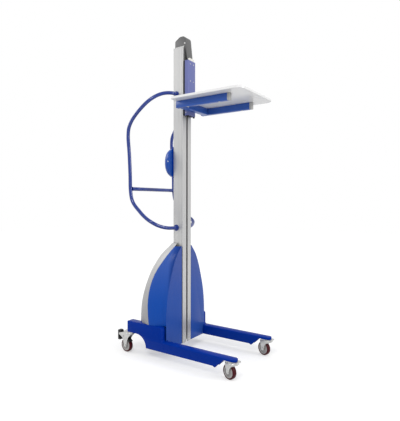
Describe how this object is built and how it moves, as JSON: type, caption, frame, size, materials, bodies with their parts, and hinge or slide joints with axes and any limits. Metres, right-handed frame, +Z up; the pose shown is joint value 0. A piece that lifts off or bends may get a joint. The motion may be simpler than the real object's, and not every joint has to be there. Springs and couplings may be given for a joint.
{
  "type": "semi-electric lifting stacker",
  "caption": "Upright lifting stacker: strap-hung carriage with a platform on an aluminium mast, low channel legs on swivel castors and a bent push handle.",
  "frame": {"origin": "on the floor, in the middle of the object's outline", "axes": "+Z up, -Y towards the load side and its platform, +Y towards the operator's handle"},
  "size_m": [0.528, 0.9536, 2.134],
  "materials": {
    "blue_powder_coat": "gloss powder coat",
    "carriage_paint": "powder coat",
    "blue_moulding": "satin moulding",
    "silver_moulding": "silver grey moulding",
    "anodised_aluminium": "natural anodised",
    "zinc_plated_steel": "zinc plated",
    "dark_grey_plastic": "matt",
    "black_plastic": "matt",
    "white_platform": "satin",
    "natural_nylon": "matt",
    "grey_plug": "matt",
    "wheel_core_grey": "matt",
    "tread_polyurethane": "satin polyurethane",
    "strap_webbing": "woven",
    "stop_button_red": "gloss",
    "key_barrel_chrome": "polished"
  },
  "bodies": {
    "frame": {"leg_left": "blue_powder_coat", "leg_right": "blue_powder_coat", "chassis_tray": "blue_powder_coat", "front_cross_beam": "blue_powder_coat", "rear_cross_beam": "blue_powder_coat", "mast_bracket_left": "zinc_plated_steel", "mast_bracket_right": "zinc_plated_steel", "mast": "anodised_aluminium", "mast_end_cap": "silver_moulding", "pulley_bracket": "zinc_plated_steel", "pulley_hood": "dark_grey_plastic", "lift_strap_front": "strap_webbing", "lift_strap_rear": "strap_webbing", "gearmotor": "dark_grey_plastic", "battery_pack": "dark_grey_plastic", "motor_controller": "dark_grey_plastic", "fairing_left": "blue_moulding", "fairing_right": "blue_moulding", "rear_cover": "silver_moulding", "push_handle_left": "blue_powder_coat", "push_handle_right": "blue_powder_coat", "handle_crossbar": "blue_powder_coat", "pod_plate": "blue_powder_coat", "control_pod": "blue_moulding", "front_castor_left_top_plate": "zinc_plated_steel", "front_castor_right_top_plate": "zinc_plated_steel", "rear_castor_left_top_plate": "zinc_plated_steel", "rear_castor_right_top_plate": "zinc_plated_steel"},
    "carriage": {"carriage_housing": "carriage_paint", "slide_shoe_upper": "black_plastic", "slide_shoe_lower": "black_plastic", "strap_clamp": "zinc_plated_steel", "carriage_top_stop": "natural_nylon", "cross_tube": "blue_powder_coat", "load_bar_left": "blue_powder_coat", "load_bar_right": "blue_powder_coat", "bar_plug_left": "grey_plug", "bar_plug_right": "grey_plug", "platform": "white_platform"},
    "front_pulley": {"strap_pulley_front": "natural_nylon"},
    "rear_pulley": {"strap_pulley_rear": "natural_nylon"},
    "drum": {"winding_drum": "zinc_plated_steel"},
    "up_button": {"up_button": "black_plastic"},
    "down_button": {"down_button": "black_plastic"},
    "emergency_stop": {"emergency_stop": "stop_button_red"},
    "key": {"key_switch": "key_barrel_chrome"},
    "front_castor_left_swivel": {"front_castor_left_fork": "zinc_plated_steel"},
    "front_castor_left_wheel": {"front_castor_left_wheel_core": "wheel_core_grey", "front_castor_left_wheel_tread": "tread_polyurethane"},
    "front_castor_right_swivel": {"front_castor_right_fork": "zinc_plated_steel"},
    "front_castor_right_wheel": {"front_castor_right_wheel_core": "wheel_core_grey", "front_castor_right_wheel_tread": "tread_polyurethane"},
    "rear_castor_left_swivel": {"rear_castor_left_fork": "zinc_plated_steel"},
    "rear_castor_left_wheel": {"rear_castor_left_wheel_core": "wheel_core_grey", "rear_castor_left_wheel_tread": "tread_polyurethane"},
    "rear_castor_left_brake": {"rear_castor_left_pedal": "black_plastic"},
    "rear_castor_right_swivel": {"rear_castor_right_fork": "zinc_plated_steel"},
    "rear_castor_right_wheel": {"rear_castor_right_wheel_core": "wheel_core_grey", "rear_castor_right_wheel_tread": "tread_polyurethane"},
    "rear_castor_right_brake": {"rear_castor_right_pedal": "black_plastic"}
  },
  "joints": [
    {"name": "carriage_lift", "type": "slide", "parent": "frame", "child": "carriage", "axis": [0, 0, 1], "range_m": [-1.5, 0], "deforming": ["lift_strap_front"]},
    {"name": "front_pulley_spin", "type": "hinge", "parent": "frame", "child": "front_pulley", "pos_m": [0, 0.07115, 2.0886], "axis": [1, 0, 0], "continuous": true},
    {"name": "rear_pulley_spin", "type": "hinge", "parent": "frame", "child": "rear_pulley", "pos_m": [0, 0.11185, 2.0886], "axis": [1, 0, 0], "continuous": true},
    {"name": "drum_spin", "type": "hinge", "parent": "frame", "child": "drum", "pos_m": [0, 0.16525, 0.225], "axis": [1, 0, 0], "continuous": true},
    {"name": "up_button_press", "type": "slide", "parent": "frame", "child": "up_button", "axis": [0, -1, 0], "range_m": [0, 0.003], "stiffness_N_per_m": 400, "springref_m": -0.003},
    {"name": "down_button_press", "type": "slide", "parent": "frame", "child": "down_button", "axis": [0, -1, 0], "range_m": [0, 0.003], "stiffness_N_per_m": 400, "springref_m": -0.003},
    {"name": "emergency_stop_press", "type": "slide", "parent": "frame", "child": "emergency_stop", "axis": [0, -1, 0], "range_m": [0, 0.004], "stiffness_N_per_m": 600, "springref_m": -0.004},
    {"name": "key_turn", "type": "hinge", "parent": "frame", "child": "key", "pos_m": [0, 0.1956, 1.247], "axis": [0, 1, 0], "range_deg": [0, 90]},
    {"name": "front_castor_left_swivel_turn", "type": "hinge", "parent": "frame", "child": "front_castor_left_swivel", "pos_m": [-0.2315, -0.437, 0.1102], "axis": [0, 0, 1], "continuous": true},
    {"name": "front_castor_left_wheel_spin", "type": "hinge", "parent": "front_castor_left_swivel", "child": "front_castor_left_wheel", "pos_m": [-0.22323, -0.40816, 0.045], "axis": [0.9613, -0.2756, 0], "continuous": true},
    {"name": "front_castor_right_swivel_turn", "type": "hinge", "parent": "frame", "child": "front_castor_right_swivel", "pos_m": [0.2315, -0.437, 0.1102], "axis": [0, 0, 1], "continuous": true},
    {"name": "front_castor_right_wheel_spin", "type": "hinge", "parent": "front_castor_right_swivel", "child": "front_castor_right_wheel", "pos_m": [0.23977, -0.40816, 0.045], "axis": [0.9613, -0.2756, 0], "continuous": true},
    {"name": "rear_castor_left_swivel_turn", "type": "hinge", "parent": "frame", "child": "rear_castor_left_swivel", "pos_m": [-0.2315, 0.366, 0.1427], "axis": [0, 0, 1], "continuous": true},
    {"name": "rear_castor_left_wheel_spin", "type": "hinge", "parent": "rear_castor_left_swivel", "child": "rear_castor_left_wheel", "pos_m": [-0.22941, 0.39593, 0.045], "axis": [0.9976, -0.0698, 0], "continuous": true},
    {"name": "rear_castor_left_brake_rock", "type": "hinge", "parent": "rear_castor_left_swivel", "child": "rear_castor_left_brake", "pos_m": [-0.22787, 0.41787, 0.1059], "axis": [0.9976, -0.0698, 0], "range_deg": [-8, 8]},
    {"name": "rear_castor_right_swivel_turn", "type": "hinge", "parent": "frame", "child": "rear_castor_right_swivel", "pos_m": [0.2315, 0.366, 0.1427], "axis": [0, 0, 1], "continuous": true},
    {"name": "rear_castor_right_wheel_spin", "type": "hinge", "parent": "rear_castor_right_swivel", "child": "rear_castor_right_wheel", "pos_m": [0.22941, 0.39593, 0.045], "axis": [0.9976, 0.0698, 0], "continuous": true},
    {"name": "rear_castor_right_brake_rock", "type": "hinge", "parent": "rear_castor_right_swivel", "child": "rear_castor_right_brake", "pos_m": [0.22787, 0.41787, 0.1059], "axis": [0.9976, 0.0698, 0], "range_deg": [-8, 8]}
  ],
  "couplings": [
    {"joint": "front_pulley_spin", "follows": "carriage_lift", "rad_per_m": -51.68},
    {"joint": "rear_pulley_spin", "follows": "carriage_lift", "rad_per_m": -51.68},
    {"joint": "drum_spin", "follows": "carriage_lift", "rad_per_m": 29.63}
  ]
}
